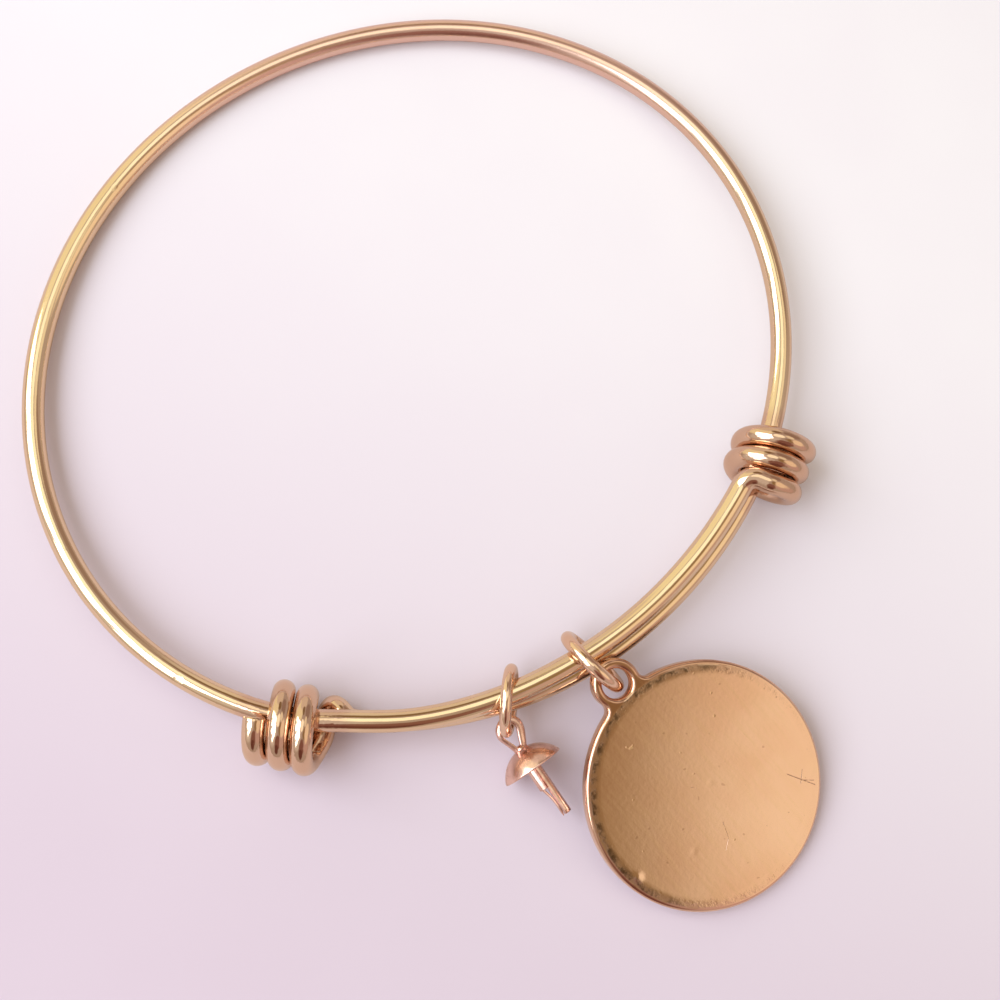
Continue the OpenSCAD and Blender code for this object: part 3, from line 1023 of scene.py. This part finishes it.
def room_light(world):
    """Soft light from all round, brighter and darker in the patches that ROOM lists."""
    nodes = Nodes(world.node_tree)
    sight = nodes.add("ShaderNodeTexCoord")
    colour = WALL
    for middle, (inner, outer), shade, gain in ROOM:
        dot = nodes.add("VectorMath", {"operation": "DOT_PRODUCT"}, [sight, heading(*middle)], 1)
        share = dot.step(math.cos(math.radians(outer)), math.cos(math.radians(inner)))
        colour = nodes.mix(share, colour, tuple(v * gain for v in shade[:3]) + (1.0,))
    glow = nodes.add("ShaderNodeBackground", None, {"Color": colour, "Strength": 1.0})
    nodes.finish("ShaderNodeOutputWorld", "Surface", glow)


def hang_panes(scene, light):
    """The window panes, each aimed at the middle of the bangle."""
    for i, (direction, away, wide, tall) in enumerate(PANES):
        at = LIGHT_AWAY * heading(direction, away)
        lamp = bpy.data.lights.new(f"pane_{i}", "AREA")
        lamp.shape, lamp.size, lamp.size_y = "RECTANGLE", wide, tall
        lamp.energy = light * wide * tall * math.pi
        lamp.color = PANE_COLOUR
        pane = bpy.data.objects.new(f"pane_{i}", lamp)
        pane.matrix_world = Matrix.Translation(at) @ aimed(at, Vector(), Vector((0, 0, 1)))
        scene.collection.objects.link(pane)


# Half of the table's width in metres
TABLE_HALF = 2
# How the table's colour goes from near to far with painted shade, and what is mixed into it
FAR_SHARE, SIDE_SHARE = 0.9, 0.4
NEAR_AT, FAR_AT = -0.055, 0.035
TABLE_NEAR_SHADE = linear(211, 200, 222)
TABLE_CLOUD = linear(222, 214, 236)
# Colour of the painted shade on the table as the metal mirrors it
TABLE_MIRRORED_SHADE = linear(208, 196, 200)
TABLE_ROUGH = 0.85


def table_top(far_colour):
    """A plain pale table, a little darker towards the camera, which is painted shade."""
    top = bpy.data.materials.new("table_top")
    top.use_nodes = True
    nodes = Nodes(top.node_tree)
    own = on_object(nodes)
    cloud = nodes.noise(own, 60.0).step(0.3, 0.7)
    side, far = nodes.parts(own)[:2]
    # Painted shade: the table is darker towards the camera and to the left
    shade = (far * FAR_SHARE + side * SIDE_SHARE).step(NEAR_AT, FAR_AT)
    colour = nodes.mix(shade, TABLE_NEAR_SHADE, (*far_colour, 1.0))
    colour = nodes.mix(cloud * 0.10, colour, TABLE_CLOUD)
    # Painted shade in reflections: the metal mirrors the table in one darker colour, which the
    # camera doesn't see directly
    mirrored = nodes.add("ShaderNodeLightPath", None, (), "Is Glossy Ray")
    colour = nodes.mix(mirrored, colour, TABLE_MIRRORED_SHADE)
    shader = nodes.add("ShaderNodeBsdfPrincipled", None, {
        "Base Color": colour, "Roughness": TABLE_ROUGH})
    nodes.finish("ShaderNodeOutputMaterial", "Surface", shader)
    return top


def lay_table(scene, far_colour):
    """The table under the bangle, which is part of the stage and not of the model."""
    table = bpy.data.meshes.new("table")
    corners = ((-1, -1), (1, -1), (1, 1), (-1, 1))
    table.from_pydata([(x * TABLE_HALF, y * TABLE_HALF, 0) for x, y in corners], [], [(0, 1, 2, 3)])
    table.materials.append(table_top(far_colour))
    floor_piece = bpy.data.objects.new("table", table)
    scene.collection.objects.link(floor_piece)


# The camera's sensor width in millimetres, its focal length in sensor widths, and its
# nearest and farthest sight in metres
SENSOR = 36.0
FOCAL = 1.566
CLIP_NEAR, CLIP_FAR = 0.005, 10.0


def place_camera(scene):
    """The camera at the photograph's viewing angle."""
    lens = bpy.data.cameras.new("camera")
    lens.sensor_width, lens.lens = SENSOR, SENSOR * FOCAL
    lens.clip_start, lens.clip_end = CLIP_NEAR, CLIP_FAR
    camera = bpy.data.objects.new("camera", lens)
    camera.matrix_world = Matrix.Translation(CAMERA_AT * MM) @ aimed(CAMERA_AT, CAMERA_TO)
    scene.collection.objects.link(camera)
    scene.camera = camera


class BANGLE_OT_stage(bpy.types.Operator):
    """Lay the table, set the lights and place the camera"""
    bl_idname = "bangle.stage"
    bl_label = "Stage"

    def execute(self, context):
        scene = context.scene
        sizes = scene.bangle_sizes
        world = bpy.data.worlds.new("room")
        world.use_nodes = True
        room_light(world)
        scene.world = world
        hang_panes(scene, sizes.light)
        lay_table(scene, sizes.floor)
        place_camera(scene)
        scene.view_settings.view_transform = "Standard"
        return {"FINISHED"}


class BANGLE_PT_sidebar(bpy.types.Panel):
    """The bangle's pieces and their settings"""
    bl_label = "Charm Bangle"
    bl_space_type = "VIEW_3D"
    bl_region_type = "UI"
    bl_category = "Bangle"

    def draw(self, context):
        for group in (context.scene.bangle_sizes, context.scene.bangle_metal):
            for name in group.__annotations__:
                self.layout.prop(group, name)
        for operator in OPERATORS:
            self.layout.operator(operator.bl_idname)


OPERATORS = (BANGLE_OT_band, BANGLE_OT_rings, BANGLE_OT_disc, BANGLE_OT_cup, BANGLE_OT_stage)
CLASSES = (MetalLook, BangleSizes, *OPERATORS, BANGLE_PT_sidebar)


def register():
    for cls in CLASSES:
        bpy.utils.register_class(cls)
    bpy.types.Scene.bangle_sizes = PointerProperty(type=BangleSizes)
    bpy.types.Scene.bangle_metal = PointerProperty(type=MetalLook)


def unregister():
    del bpy.types.Scene.bangle_metal
    del bpy.types.Scene.bangle_sizes
    for cls in reversed(CLASSES):
        bpy.utils.unregister_class(cls)


def main():
    register()
    bpy.ops.bangle.band()
    bpy.ops.bangle.rings()
    bpy.ops.bangle.disc()
    bpy.ops.bangle.cup()
    bpy.ops.bangle.stage()


if __name__ == "__main__":
    main()
